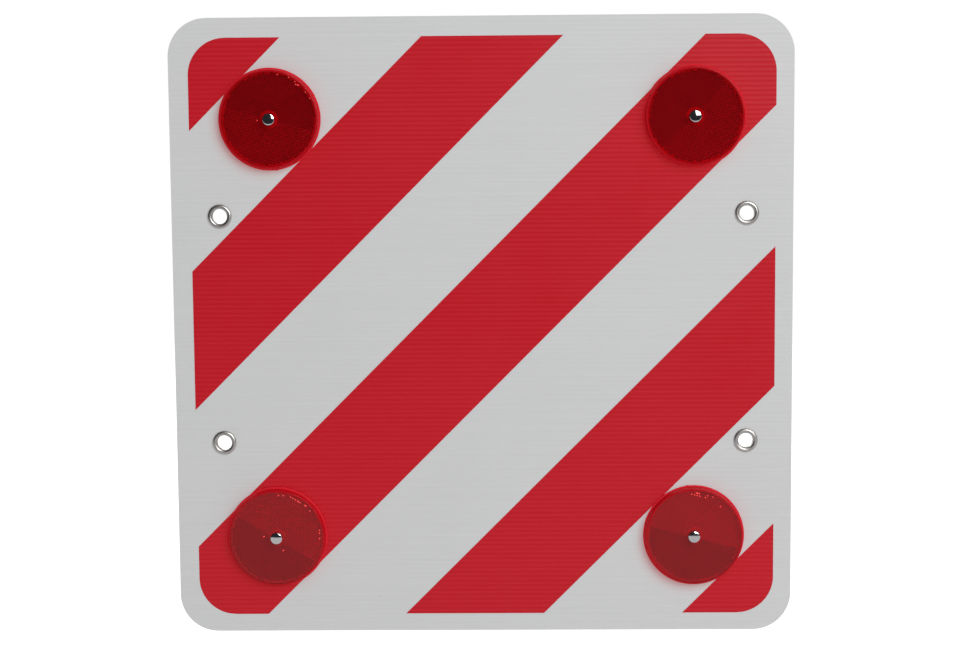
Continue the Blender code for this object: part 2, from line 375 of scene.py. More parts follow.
def makePrintMaterial():
    material, tree, shader = startMaterial("red screen print", Specular_IOR_Level=0.3)
    streaks = useGroup(tree, streakGroup, Lines=800, Run=0.012)
    smudges = useGroup(tree, smudgeGroup, Size=11, Sharpness=0.16)
    specks = useGroup(tree, speckGroup, Scale=55, Size=0.022, Share=0.12)
    # Over each flute: thinner ink, and painted sheen
    bands = useGroup(tree, bandGroup, Spacing=fluteSpacing, Start=sheetLow.z)
    tone = weighSum(tree, streaks, printFinish["streakShare"], bands, printFinish["bandShare"])
    color = mixColors(tree, tone, printFinish["ink"], printFinish["thinInkAndSheen"])
    tree.links.new(mixColors(tree, specks, color, printFinish["grain"]), shader.inputs["Base Color"])
    tree.links.new(rangeNode(tree, smudges, 0, 1, *printFinish["roughness"]), shader.inputs["Roughness"])
    addBump(tree, shader, [(streaks, printFinish["streakDepth"]), (specks, printFinish["speckDepth"])])
    return material


lensFinish = {
    "tint": (0.80, 0.050, 0.070),
    "flow": (0.76, 0.040, 0.058),
    "shadowTint": (0.90, 0.22, 0.26),
    "roughness": (0.015, 0.05),
    "smudgeShare": 0.35,
    "hairlineShare": 0.65,
    "smudgeDepth": 0.000012,
}


def makeLensMaterial():
    material, tree, shader = startMaterial("clear red acrylic", IOR=1.45, Transmission_Weight=1.0)
    smudges = useGroup(tree, smudgeGroup, Size=40, Sharpness=0.2)
    hairlines = useGroup(tree, scratchGroup, Scale=140, Width=0.02, Turn=0.7)
    wear = weighSum(tree, smudges, lensFinish["smudgeShare"], hairlines, lensFinish["hairlineShare"])
    color = mixColors(tree, smudges, lensFinish["tint"], lensFinish["flow"])
    tree.links.new(color, shader.inputs["Base Color"])
    tree.links.new(rangeNode(tree, wear, 0, 1, *lensFinish["roughness"]), shader.inputs["Roughness"])
    addBump(tree, shader, [(smudges, lensFinish["smudgeDepth"])])
    letLampsThrough(material, shader, lensFinish["shadowTint"])
    return material


prismFinish = {
    "paintedPitShade": (0.12, 0.010, 0.020),
    # The two fields are one plastic: their colours differ as painted light, for how their differently turned
    # cubes catch it
    "fine": (0.31, 0.022, 0.040),
    "coarse": (0.40, 0.030, 0.052),
    # Painted glint: the bright colour and the painted glow of facets that stand in for the softbox's sparkle
    "lit": (1.0, 0.16, 0.12),
    "glow": (1.0, 0.45, 0.34),
    "paintedGlowStrength": 0.9,
    # How dark the painted shade in the pits is, and how light the painted light makes the whole, at the
    # sheet's bottom and at its top
    "finePits": (0.30, 0.80),
    "coarsePits": (0.45, 1.0),
    "litPits": (0.0, 0.0),
    "fineGain": (1.38, 1.00),
    "coarseGain": (1.50, 0.97),
    "litGain": (1.0, 1.0),
    "flatness": 0.98,
    "wearShare": 0.12,
    "shadowTint": (0.60, 0.12, 0.14),
    "roughness": 0.45,
}


# The moulded cubes behind the lens's face. A glow above nought is a painted glow.
def makePrismMaterial(name, part, glow=0.0):
    material, tree, shader = startMaterial(name, Specular_IOR_Level=0.2, Roughness=prismFinish["roughness"],
                                           Emission_Strength=glow)
    shader.inputs["Emission Color"].default_value = (*prismFinish["glow"], 1)
    smudges = useGroup(tree, smudgeGroup, Size=60, Sharpness=0.2)
    wear = mathNode(tree, "MULTIPLY", smudges, prismFinish["wearShare"])
    # Painted shade in the pits and painted light by height, for this field
    pits, gain = prismFinish[part + "Pits"], prismFinish[part + "Gain"]
    cubes = placeGroup(tree, prismGroup, Facet=prismFinish[part], Pit=prismFinish["paintedPitShade"], Wear=wear,
                       Front=prismTop, Reach=prismReach, Low=sheetLow.z, High=sheetHigh.z,
                       Low_gain=gain[0], High_gain=gain[1], Low_pits=pits[0], High_pits=pits[1],
                       Flatness=prismFinish["flatness"])
    tree.links.new(cubes["Color"], shader.inputs["Base Color"])
    tree.links.new(cubes["Normal"], shader.inputs["Normal"])
    letLampsThrough(material, shader, prismFinish["shadowTint"])
    material.cycles.emission_sampling = "NONE"
    return material


sideFinish = {
    "outer": (0.52, 0.004, 0.010),
    "outerFlow": (0.47, 0.003, 0.008),
    "edge": (0.42, 0.005, 0.011),
    "edgeFlow": (0.38, 0.004, 0.009),
    "inner": (0.44, 0.022, 0.045),
    "innerFlow": (0.38, 0.018, 0.036),
    "flange": (0.68, 0.020, 0.035),
    "flangeFlow": (0.63, 0.014, 0.028),
    "flangeAlpha": 0.88,
    "paintedBounceGlow": (0.92, 0.11, 0.13),     # painted glow: how they colour the light that they pass on to the sheet, brighter than their own colour
    "shadowTint": (0.78, 0.18, 0.20),
    "flangeTint": (0.98, 0.72, 0.74),
    "roughness": (0.22, 0.36),
}


# The lens's solid-looking sides. The inner ones are seen through the clear face, and the thin flange lets
# the sheet behind it show.
def makeSideMaterial(name, part, coat, tint, alpha=1.0):
    material, tree, shader = startMaterial(name, Specular_IOR_Level=0.05, Coat_Weight=coat,
                                           Coat_Roughness=0.06, Alpha=alpha)
    smudges = useGroup(tree, smudgeGroup, Size=90, Sharpness=0.2)
    color = mixColors(tree, smudges, sideFinish[part], sideFinish[part + "Flow"])
    # Painted glow: bounced light takes a brighter red than the camera sees, standing in for light that the
    # clear plastic passes on to the sheet
    paintedGlowMask = tree.nodes.new("ShaderNodeLightPath").outputs["Is Diffuse Ray"]
    tree.links.new(mixColors(tree, paintedGlowMask, color, sideFinish["paintedBounceGlow"]), shader.inputs["Base Color"])
    tree.links.new(rangeNode(tree, smudges, 0, 1, *sideFinish["roughness"]), shader.inputs["Roughness"])
    letLampsThrough(material, shader, tint)
    return material


plateFinish = {
    "plain": (0.16, 0.004, 0.007),
    "worn": (0.20, 0.010, 0.013),
    "roughness": (0.40, 0.55),
    "speckDepth": 0.00002,
}


def makePlateMaterial():
    material, tree, shader = startMaterial("dark red moulding", Specular_IOR_Level=0.5)
    smudges = useGroup(tree, smudgeGroup, Size=30, Sharpness=0.14)
    specks = useGroup(tree, speckGroup, Scale=900, Size=0.3, Share=0.6)
    color = mixColors(tree, smudges, plateFinish["plain"], plateFinish["worn"])
    tree.links.new(color, shader.inputs["Base Color"])
    tree.links.new(rangeNode(tree, smudges, 0, 1, *plateFinish["roughness"]), shader.inputs["Roughness"])
    addBump(tree, shader, [(specks, plateFinish["speckDepth"])])
    return material


rivetFinish = {
    "bright": (0.88, 0.87, 0.84),
    "dull": (0.74, 0.72, 0.69),
    "creviceShade": (0.30, 0.29, 0.28),
    "creviceReach": 0.0003,
    "roughness": (0.05, 0.15),
}
eyeletFinish = {
    "bright": (0.72, 0.70, 0.66),
    "dull": (0.60, 0.58, 0.54),
    "creviceShade": (0.20, 0.19, 0.18),
    "creviceReach": 0.0006,
    "roughness": (0.32, 0.42),
}
metalWear = {
    "smudgeShare": 0.5,
    "hairlineShare": 0.5,
    "hairlineDepth": 0.000004,
}


def makeNickelMaterial(name, finish):
    material, tree, shader = startMaterial(name, Metallic=1.0)
    smudges = useGroup(tree, smudgeGroup, Size=180, Sharpness=0.2)
    hairlines = useGroup(tree, scratchGroup, Scale=500, Width=0.03, Turn=0.9)
    wear = weighSum(tree, smudges, metalWear["smudgeShare"], hairlines, metalWear["hairlineShare"])
    # Painted shade where the metal meets the sheet
    creviceShade = useGroup(tree, creviceShadeGroup, Middle=sheetMiddle.y, Half=(sheetHigh.y - sheetLow.y) / 2,
                       Reach=finish["creviceReach"])
    color = mixColors(tree, wear, finish["bright"], finish["dull"])
    tree.links.new(mixColors(tree, creviceShade, color, finish["creviceShade"]), shader.inputs["Base Color"])
    tree.links.new(rangeNode(tree, wear, 0, 1, *finish["roughness"]), shader.inputs["Roughness"])
    addBump(tree, shader, [(hairlines, metalWear["hairlineDepth"])])
    return material


sheetLow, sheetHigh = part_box("panel")
sheetMiddle = (sheetLow + sheetHigh) / 2
sheet = {
    "cornerRadius": 0.031,
    "skin": 0.0004,
    "rib": 0.0003,
    "flutes": 133,
    "flutePoints": 6,     # from fillet to fillet, with both ends
    "fillet": 0.00025,    # where a rib meets the two skins
    "filletBend": 0.3,    # where the fillet's middle point lies, as a share of its size
    "sag": 0.00005,       # how far each skin sinks between two ribs
    "postHole": 0.0027,
    "eyeletHole": 0.00665,
    "holeSegments": 64,
    "drillLength": 4,     # in thicknesses of the sheet
    "creaseAngle": 30,
}
fluteSpacing = (sheetHigh.z - sheetLow.z - sheet["rib"]) / sheet["flutes"]


def skinSag(z):
    share = (z - sheetLow.z - sheet["rib"] / 2) / fluteSpacing
    return sheet["sag"] * math.sin(math.pi * share) ** 2


# Heights and depths of the points across one flute: fillets at both ends, even steps between.
def fluteSteps():
    fillet = sheet["fillet"]
    bend = sheet["filletBend"] * fillet
    clear = fluteSpacing - sheet["rib"]
    even = np.linspace(fillet, clear - fillet, sheet["flutePoints"])
    heights = [0, bend, fillet, *even[1:-1], clear - fillet, clear - bend, clear]
    depths = [fillet, bend] + [0] * (len(heights) - 4) + [bend, fillet]
    return heights, depths


# Twin-wall sheet, ruled from side to side: every point of its section is drawn out to both sides, which
# round off at the corners. The flutes stay open at the sides.
def makeSheetMesh():
    points = []
    faces = []

    def rule(y, z):
        reach = roundedHalf(z - sheetMiddle.z, halfWidth, halfHeight, sheet["cornerRadius"])
        points.append((sheetMiddle.x - reach, y, z))
        points.append((sheetMiddle.x + reach, y, z))
        return len(points) - 2

    def drawOut(first, second):
        faces.append((first, first + 1, second + 1, second))

    halfWidth, halfHeight = (sheetHigh.x - sheetLow.x) / 2, (sheetHigh.z - sheetLow.z) / 2
    heights, depths = fluteSteps()
    front = rule(sheetLow.y, sheetLow.z)
    back = rule(sheetHigh.y, sheetLow.z)
    drawOut(back, front)
    for i in range(sheet["flutes"]):
        base = sheetLow.z + sheet["rib"] + i * fluteSpacing
        last = i == sheet["flutes"] - 1
        levels = [base + h for h in heights]
        top = sheetHigh.z if last else levels[-1] + sheet["rib"] / 2
        fronts = [front] + [rule(sheetLow.y + skinSag(z), z) for z in levels[1:-1]] + [rule(sheetLow.y, top)]
        backs = [back] + [rule(sheetHigh.y - skinSag(z), z) for z in levels[1:-1]] + [rule(sheetHigh.y, top)]
        inner = [rule(sheetLow.y + sheet["skin"] + skinSag(z) + d, z) for z, d in zip(levels, depths)]
        inner += [rule(sheetHigh.y - sheet["skin"] - skinSag(z) - d, z) for z, d in zip(levels, depths)][::-1]
        outer = fronts + backs[::-1]
        for k in range(len(heights) - 1):
            drawOut(fronts[k], fronts[k + 1])
            drawOut(backs[k + 1], backs[k])
        for k in range(len(inner)):
            after = (k + 1) % len(inner)
            drawOut(inner[after], inner[k])
            faces.append((outer[k], outer[after], inner[after], inner[k]))
            faces.append((outer[k] + 1, inner[k] + 1, inner[after] + 1, outer[after] + 1))
        front = fronts[-1]
        back = backs[-1]
    drawOut(front, back)
    mesh = bpy.data.meshes.new("panel_fine")
    mesh.from_pydata(points, [], faces)
    return mesh


def makeDrills():
    bm = bmesh.new()
    holes = [(middleOf("rivet_" + c), sheet["postHole"]) for c in corners]
    holes += [(middleOf("eyelet_" + s), sheet["eyeletHole"]) for s in sides]
    upright = Matrix.Rotation(math.pi / 2, 4, "X")
    length = sheet["drillLength"] * (sheetHigh.y - sheetLow.y)
    for place, radius in holes:
        spot = Matrix.Translation((place.x, sheetMiddle.y, place.z))
        bmesh.ops.create_cone(bm, cap_ends=True, segments=sheet["holeSegments"], radius1=radius,
                              radius2=radius, depth=length, matrix=spot @ upright)
    mesh = bpy.data.meshes.new("drills")
    bm.to_mesh(mesh)
    bm.free()
    return addObject("drills", mesh)


# The mesh with the drills cut out of it.
def drilled(mesh, drills):
    body = addObject("blank", mesh)
    cut = body.modifiers.new("drill", "BOOLEAN")
    cut.object = drills
    cut.solver = "EXACT"
    cut.operation = "DIFFERENCE"
    ready = body.evaluated_get(bpy.context.evaluated_depsgraph_get())
    result = bpy.data.meshes.new_from_object(ready)
    result.name = mesh.name
    result.materials.clear()
    bpy.data.objects.remove(body)
    result.shade_smooth()
    result.set_sharp_from_angle(angle=math.radians(sheet["creaseAngle"]))
    return result


printLow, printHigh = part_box("stripe_middle")
printed = {
    "stripeWidth": 0.080,
    "spacing": 0.160,
    "cornerRadius": 0.030,
}
stripePlaces = {
    "stripe_corner_top_left": -2,
    "stripe_upper": -1,
    "stripe_middle": 0,
    "stripe_lower": 1,
    "stripe_corner_bottom_right": 2,
}


# One red field: the part of a slanting band that lies in the rounded frame, as thin as ink allows, and
# following the skin that it lies on.
def makeStripeMesh(name, order, sheetLevels, sheetFronts):
    halfBand = printed["stripeWidth"] / 2 * math.sqrt(2)
    offset = order * printed["spacing"] * math.sqrt(2)
    film = sheetLow.y - printLow.y

    def span(z):
        reach = roundedHalf(z, printHigh.x, printHigh.z, printed["cornerRadius"])
        return max(-reach, z + offset - halfBand), min(reach, z + offset + halfBand)

    bottom = max(printLow.z, printLow.x - offset - halfBand)
    top = min(printHigh.z, printHigh.x - offset + halfBand)
    turns = [printLow.x - offset + halfBand, printHigh.x - offset - halfBand]
    levels = [z for z in sheetLevels if bottom < z < top]
    levels = sorted({bottom, top, *levels, *[z for z in turns if bottom < z < top]})
    points = []
    for z in levels:
        left, right = span(z)
        back = float(np.interp(z, sheetLevels, sheetFronts))
        for y in (back - film, back):
            points += [(left, y, z), (max(right, left), y, z)]
    faces = [(0, 2, 3, 1)]
    for row in range(0, len(points) - 4, 4):
        for a, b in ((0, 1), (3, 2), (2, 0), (1, 3)):
            faces.append((row + a, row + b, row + b + 4, row + a + 4))
    last = len(points) - 4
    faces.append((last, last + 1, last + 3, last + 2))
    bm = bmesh.new()
    verts = [bm.verts.new(p) for p in points]
    for face in faces:
        bm.faces.new([verts[i] for i in face])
    bmesh.ops.remove_doubles(bm, verts=bm.verts, dist=weldDistance)
    return tidyMesh(bm, name, sheet["creaseAngle"])


reflector = {
    "sideWall": 0.0016,
    "frontWall": 0.0030,
    "skirtWall": 0.0016,
    "skirtDepth": 0.0015,     # how deep the back plate sits in the skirt
    "rebate": 0.0015,
    "flangeHeight": 0.0018,
    "flangeSlope": 0.0004,
    "flangeRound": 0.0002,
    "edgeRound": 0.0008,
    "edgeFacing": 0.85,       # how squarely a face looks ahead, or back, to count as the edge
    "draft": 0.0004,
    "bossRadius": 0.0046,
    "postHole": 0.0027,
    "segments": 128,
    "gateAngle": -68,         # from the line between the two prism fields
    "gateWidth": 2.4,
    "gateReach": 0.0005,
    "gateBand": 0.0003,       # how far in from the foot's rim it starts
    "turns": {"top_left": -15, "top_right": 45, "bottom_left": 149, "bottom_right": 165},
}
prism = {
    "pitch": 0.00228,
    "fieldRadius": 0.0374,
    "rimInset": 0.8,          # how far in from the field's edge the last cells stay, in cell sides
    "spareRows": 3,           # of the grid, tried beyond the field's radius
    "bossRoom": 0.0073,
    "bossSteps": 40,
    "bossNear": 0.8,          # facets beyond this share of that room are cut
    "standOff": 0.0002,
    # Where cells get a painted glint, standing in for the softbox's sparkle: the middle and the spread of the
    # arc in degrees, the share of the cells, and how far in from the field's edge they lie.
    "lit": {"top_left": (58, 22, 0.50, 0.0030), "top_right": (40, 18, 0.0, 0.0030),
            "bottom_left": (52, 40, 0.95, 0.0026), "bottom_right": (76, 26, 0.60, 0.0052)},
    "brightShare": 0.16,      # of the cells with a painted glint, those that have it on two facets, not one
    # Places near the boss where cells get a painted glint too
    "paintedGlints": {"top_left": [(-0.0095, -0.0018)], "top_right": [],
               "bottom_left": [(-0.0096, 0.0016), (0.0052, -0.0101)], "bottom_right": []},
    "paintedGlintRadius": 0.0012,
}
# The lens's materials, in order
clearPart, finePart, coarsePart, innerPart, outerPart, edgePart, flangePart, paintedGlintPart = range(8)
lensLow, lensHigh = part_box("reflector_lens_top_left")
lensHeight = lensHigh.y - lensLow.y
lensBase = (lensHigh.x - lensLow.x) / 2
lensSeat = lensHigh.y
faceRadius = lensBase - reflector["skirtWall"] - reflector["rebate"] + reflector["sideWall"]
ceiling = lensHeight - reflector["frontWall"]
prismStep = prism["pitch"] / math.sqrt(3) * math.sqrt(0.5)
prismTop = lensSeat - ceiling
prismReach = prism["standOff"] + 2 * prismStep


# The cup without its ceiling: from the ceiling's outer edge down the inside, round the flange and the face,
# and up the boss to the ceiling's inner edge.
def cupProfile():
    r = reflector
    cavity = faceRadius - r["sideWall"]
    rebate = cavity + r["rebate"]
    flangeTop = r["flangeHeight"] + r["flangeSlope"]
    soft, edge = r["flangeRound"], r["edgeRound"]
    return [
        (cavity, ceiling),
        (cavity, r["skirtDepth"]),
        (rebate, r["skirtDepth"]),
        (rebate, 0),
        *arcPoints((lensBase - soft, soft), (soft, soft), -90, 0, 3),
        *arcPoints((lensBase - soft, r["flangeHeight"] - soft), (soft, soft), 0, 70, 3),
        (faceRadius + r["draft"] + soft, flangeTop),
        (faceRadius + r["draft"], flangeTop + soft),
        *arcPoints((faceRadius - edge, lensHeight - edge), (edge, edge), 0, 90, 6),
        (cavity, lensHeight),
        (r["postHole"], lensHeight),
        (r["postHole"], r["skirtDepth"]),
        (r["bossRadius"], r["skirtDepth"]),
        (r["bossRadius"], ceiling),
    ]


# Leaves a clean round edge where the cells meet the plain ring about the boss.
def cutRoundBoss(bm, side):
    def isNear(face, radius):
        spot = face.calc_center_median()
        return math.hypot(spot.x, spot.z) < radius

    for step in range(prism["bossSteps"]):
        turn = math.tau * step / prism["bossSteps"]
        outward = Vector((math.cos(turn), 0, math.sin(turn)))
        near = [f for f in bm.faces if isNear(f, prism["bossRoom"] + side) and
                f.calc_center_median().dot(outward) > prism["bossRoom"] * prism["bossNear"]]
        geom = {g for f in near for g in (f, *f.edges, *f.verts)}
        bmesh.ops.bisect_plane(bm, geom=list(geom), plane_co=outward * prism["bossRoom"], plane_no=outward)
    inner = prism["bossRoom"] * math.cos(math.pi / prism["bossSteps"])
    bmesh.ops.delete(bm, geom=[f for f in bm.faces if isNear(f, inner)], context="FACES")


# Corner cubes on a triangular grid. The middle of each cell lies deepest, and its rim steps between two
# heights, in the one half the other way round than in the other.
def addPrismCells(bm):
    side = prism["pitch"] / math.sqrt(3)
    reach = int(prism["fieldRadius"] / side) + prism["spareRows"]
    inset = side * prism["rimInset"]
    verts = {}

    def gridPoint(i, j):
        return side * math.sqrt(0.75) * i, side * (0.5 * i + j)

    def vertAt(i, j):
        if (i, j) not in verts:
            x, z = gridPoint(i, j)
            kind = (i - j) % 3
            step = {0: 2, 1: 1, 2: 0}[kind] if z > 0 else {0: 2, 1: 0, 2: 1}[kind]
            depth = prism["standOff"] + step * prismStep
            verts[i, j] = bm.verts.new((x, depth - ceiling, z))
        return verts[i, j]

    cells = bm.faces.layers.int.new("cell")
    facets = bm.faces.layers.int.new("facet")
    count = 0
    ring = [(1, 0), (0, 1), (-1, 1), (-1, 0), (0, -1), (1, -1)]
    for i in range(-reach, reach + 1):
        for j in range(-2 * reach, 2 * reach + 1):
            away = math.hypot(*gridPoint(i, j))
            if (i - j) % 3 or not prism["bossRoom"] - side < away < prism["fieldRadius"] - inset:
                continue
            rim = [vertAt(i + a, j + b) for a, b in ring]
            middle = vertAt(i, j)
            for k in range(6):
                face = bm.faces.new((middle, rim[k], rim[(k + 1) % 6]))
                face.material_index = finePart if middle.co.z > 0 else coarsePart
                face[cells] = count
                face[facets] = k
            count += 1
    cutRoundBoss(bm, side)


# A small nub on the foot's rim, where the plastic was let into the mould.
def pushOutGate(cup):
    gate = math.radians(reflector["gateAngle"])
    for vert in cup.verts:
        radius = math.hypot(vert.co.x, vert.co.z)
        off = math.degrees((math.atan2(vert.co.z, vert.co.x) - gate + math.pi) % math.tau - math.pi)
        if radius > lensBase - reflector["gateBand"] and abs(off) < reflector["gateWidth"] / 2:
            vert.co.x *= 1 + reflector["gateReach"] / radius
            vert.co.z *= 1 + reflector["gateReach"] / radius


# Each face of the cup takes the material of its place.
def sortCupFaces(cup):
    slack = 0.00001
    for face in cup.faces:
        spot = face.calc_center_median()
        away = math.hypot(spot.x, spot.z)
        inside = away < faceRadius - reflector["sideWall"] + slack
        face.material_index = innerPart if inside else outerPart
        if not inside and abs(face.normal.y) > reflector["edgeFacing"]:
            face.material_index = edgePart
        if inside and -spot.y > lensHeight - slack:
            face.material_index = clearPart
        if away > faceRadius + reflector["draft"]:
            face.material_index = flangePart


# One closed mesh: the cells, a short wall from their rim to the ceiling, the cup, and the ceiling itself.
def makeLensMesh():
    bm = bmesh.new()
    addPrismCells(bm)
    rim = [e for e in bm.edges if e.is_boundary]
    walls = bmesh.ops.extrude_edge_only(bm, edges=rim)["geom"]
    for vert in [g for g in walls if isinstance(g, bmesh.types.BMVert)]:
        vert.co.y = -ceiling
    for face in [g for g in walls if isinstance(g, bmesh.types.BMFace)]:
        face.material_index = innerPart
    cup = bmesh.new()
    spinProfile(cup, cupProfile(), reflector["segments"], closed=False)
    pushOutGate(cup)
    sortCupFaces(cup)
    shell = bpy.data.meshes.new("cup")
    cup.to_mesh(shell)
    cup.free()
    bm.from_mesh(shell)
    bpy.data.meshes.remove(shell)
    rim = [e for e in bm.edges if e.is_boundary]
    filled = bmesh.ops.triangle_fill(bm, use_beauty=True, edges=rim, normal=(0, 1, 0))["geom"]
    for face in [g for g in filled if isinstance(g, bmesh.types.BMFace)]:
        face.material_index = innerPart
    print("Lens mesh:", len(bm.faces), "faces,", sum(not e.is_manifold for e in bm.edges), "open edges")
    mesh = tidyMesh(bm, "reflector_lens")
    sharpenSeams(mesh)
    return mesh


# Single facets, in an arc along the field's edge and near the boss, get a painted glint: a bright colour with
# a painted glow.
def paintGlintCells(mesh, middle, corner):
    angle, spread, share, depth = prism["lit"][corner]
    cells, facets = mesh.attributes["cell"].data, mesh.attributes["facet"].data
    chances = np.random.default_rng(corners.index(corner)).random(max(cell.value for cell in cells) + 1)
    for polygon, cell, facet in zip(mesh.polygons, cells, facets):
        if polygon.material_index not in (finePart, coarsePart):
            continue
        x, z = polygon.center.x - middle.x, polygon.center.z - middle.z
        off = (math.degrees(math.atan2(z, x)) - angle) / spread
        limit = share * math.exp(-off * off)
        isNearEdge = prism["fieldRadius"] - math.hypot(x, z) < depth
        isPaintedGlint = any(math.hypot(x - u, z - v) < prism["paintedGlintRadius"] for u, v in prism["paintedGlints"][corner])
        glintFacets = 2 if chances[cell.value] < prism["brightShare"] * limit else 1
        if facet.value < glintFacets and (isPaintedGlint or isNearEdge and chances[cell.value] < limit):
            polygon.material_index = paintedGlintPart


rivet = {
    "postRadius": 0.0024,
    "edgeRound": 0.0008,
    "crownTilt": 14,
    "postReach": 0.0006,
    "capRoof": 0.0010,
    "room": 0.0003,
    "segments": 64,
    "edgeSteps": 6,
    "crownSteps": 8,
}
headRadius = (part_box("rivet_top_left")[1].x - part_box("rivet_top_left")[0].x) / 2
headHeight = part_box("rivet_cap_top_left")[1].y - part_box("rivet_cap_top_left")[0].y


# From the head's rim to its middle: a round edge that runs into a low crown.
def headOutline():
    steep, soft = math.radians(rivet["crownTilt"]), rivet["edgeRound"]
    reach = headRadius - soft * (1 - math.sin(steep))
    rise = reach * math.tan(steep) / 2
    middle = (headRadius - soft, headHeight - rise - soft * math.cos(steep))
    edge = arcPoints(middle, (soft, soft), 0, 90 - rivet["crownTilt"], rivet["edgeSteps"])
    shares = np.linspace(1, 0, rivet["crownSteps"] + 1)[1:]
    return edge + [(reach * share, headHeight - rise * share ** 2) for share in shares]


def rivetProfile():
    depth = lensHeight + (sheetHigh.y - printLow.y) + rivet["postReach"]
    post = rivet["postRadius"]
    return [(0, -depth), (post, -depth), (post, 0), (headRadius, 0), *headOutline()]


def rivetCapProfile():
    roof = headHeight - rivet["capRoof"]
    bore = rivet["postRadius"] + rivet["room"]
    return [(0, roof), (bore, roof), (bore, 0), (headRadius, 0), *headOutline()]


eyelet = {
    "boreRadius": 0.0060,
    "wall": 0.00035,
    "curlReach": 0.0019,
    "curlHeight": 0.0005,
    "washerSeat": 0.00035,
    "washerHeight": 0.0009,
    "washerRadius": 0.0097,
    "washerRound": 0.0002,
    "washerFlat": 0.0003,     # where the flat ends, in from the rim
    "recessSlope": 0.00015,
    "room": 0.0003,
    "segments": 96,
    "arcSteps": 16,
}


def eyeletProfile():
    low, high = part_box("eyelet_upper_left")
    flangeRadius = (high.x - low.x) / 2
    flangeHeight = sheetLow.y - low.y
    wall, bore, steps = eyelet["wall"], eyelet["boreRadius"], eyelet["arcSteps"]
    middle, half = (flangeRadius + bore) / 2, (flangeRadius - bore) / 2
    seat = sheetLow.y - sheetHigh.y - eyelet["washerSeat"]
    curlHalf = eyelet["curlReach"] / 2
    crown = arcPoints((middle, 0), (half, flangeHeight), 0, 180, steps)
    curl = arcPoints((bore + curlHalf, seat), (curlHalf, eyelet["curlHeight"]), -180, 0, steps // 2)
    hollow = arcPoints((middle, 0), (half - wall, flangeHeight - wall), 180, 0, steps // 2)
    return [*crown, *curl, (bore + wall, seat), *hollow]


def washerProfile():
    inner = eyelet["boreRadius"] + eyelet["wall"] + eyelet["room"]
    recess = eyelet["boreRadius"] + eyelet["curlReach"] + eyelet["room"]
    outer, height, soft = eyelet["washerRadius"], eyelet["washerHeight"], eyelet["washerRound"]
    return [(inner, 0), (inner, eyelet["washerSeat"]), (recess, eyelet["washerSeat"]),
            (recess + eyelet["recessSlope"], height),
            (outer - eyelet["washerFlat"], height),
            *arcPoints((outer - soft, height - soft), (soft, soft), 90, 0, 3), (outer, 0)]


whiteSheet = makeSheetMaterial()
redPrint = makePrintMaterial()
redLens = makeLensMaterial()
finePrisms = makePrismMaterial("prisms of the fine field", "fine")
coarsePrisms = makePrismMaterial("prisms of the coarse field", "coarse")
# Painted glint: bright prisms with a painted glow
paintedGlintPrisms = makePrismMaterial("prisms with painted sparkle", "lit", prismFinish["paintedGlowStrength"])
innerSides = makeSideMaterial("inner moulded sides", "inner", 0.0, sideFinish["shadowTint"])
outerSides = makeSideMaterial("outer moulded sides", "outer", 0.0, sideFinish["shadowTint"])
edgeSides = makeSideMaterial("moulded front edge", "edge", 0.2, sideFinish["shadowTint"])
flangeSides = makeSideMaterial("moulded flange", "flange", 0.0, sideFinish["flangeTint"],
                               sideFinish["flangeAlpha"])
lensMaterials = [redLens, finePrisms, coarsePrisms, innerSides, outerSides, edgeSides, flangeSides, paintedGlintPrisms]
redPlate = makePlateMaterial()
rivetNickel = makeNickelMaterial("rivet nickel", rivetFinish)
eyeletNickel = makeNickelMaterial("eyelet nickel", eyeletFinish)
print("Materials made")

drills = makeDrills()
addPiece(drilled(makeSheetMesh(), drills), "panel", [whiteSheet])
print("Sheet made")

# The printed fields follow the front skin, at the same heights as its own points.
heights = fluteSteps()[0][1:-1]
sheetLevels = sorted({round(sheetLow.z + sheet["rib"] + i * fluteSpacing + h, 7)
                      for i in range(sheet["flutes"]) for h in heights})
sheetFronts = [sheetLow.y + skinSag(z) for z in sheetLevels]
for name, order in stripePlaces.items():
    field = makeStripeMesh(name, order, sheetLevels, sheetFronts)
    if name == "stripe_middle":
        field = drilled(field, drills)
    addPiece(field, name, [redPrint])
bpy.data.objects.remove(drills)
print("Printed fields made")

lensMesh = makeLensMesh()
for corner in corners:
    place = middleOf("reflector_lens_" + corner)
    place.y = lensSeat
    turn = Matrix.Rotation(-math.radians(reflector["turns"][corner]), 4, "Y")
    mesh = lensMesh.copy()
    mesh.transform(Matrix.Translation(place) @ turn)
    paintGlintCells(mesh, place, corner)
    addPiece(mesh, "reflector_lens_" + corner, lensMaterials)
    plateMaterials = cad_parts["reflector_back_" + corner].data.materials
    plateMaterials.clear()
    plateMaterials.append(redPlate)
    head = Vector((place.x, lensLow.y, place.z))
    addTurnedPiece("rivet_" + corner, rivetProfile(), rivet["segments"], head, rivetNickel)
    tail = Vector((place.x, sheetHigh.y, place.z))
    addTurnedPiece("rivet_cap_" + corner, rivetCapProfile(), rivet["segments"], tail, rivetNickel, True)
print("Reflectors and rivets made")

for side in sides:
    place = middleOf("eyelet_" + side)
    head = Vector((place.x, sheetLow.y, place.z))
    addTurnedPiece("eyelet_" + side, eyeletProfile(), eyelet["segments"], head, eyeletNickel)
    tail = Vector((place.x, sheetHigh.y, place.z))
    addTurnedPiece("eyelet_washer_" + side, washerProfile(), eyelet["segments"], tail, eyeletNickel, True)
print("Eyelets made")

